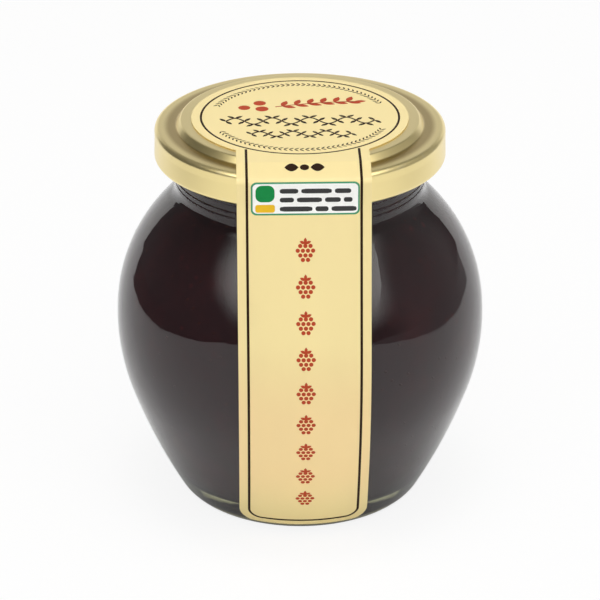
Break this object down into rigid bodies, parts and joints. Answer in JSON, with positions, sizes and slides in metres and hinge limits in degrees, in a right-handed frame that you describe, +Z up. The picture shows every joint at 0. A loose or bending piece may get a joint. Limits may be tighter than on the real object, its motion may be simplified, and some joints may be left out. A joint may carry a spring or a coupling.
{
  "type": "jar of jam",
  "caption": "Pot-bellied clear glass jar filled with dark red jam, shut by a stepped gold twist lid and sealed by a paper label that runs from a disc on the lid down the front.",
  "frame": {"origin": "centre of the base on the standing surface", "axes": "+Z up along the jar's axis, -Y to the front where the label hangs, +X to the right seen from the front"},
  "size_m": [0.0718, 0.072, 0.0776],
  "materials": {
    "glass": "clear polished glass",
    "jam": "gloss",
    "lid": "satin",
    "label": "satin"
  },
  "bodies": {
    "root": {"jar": "glass", "jam": "jam", "lid": "lid", "label": "label"}
  },
  "joints": []
}
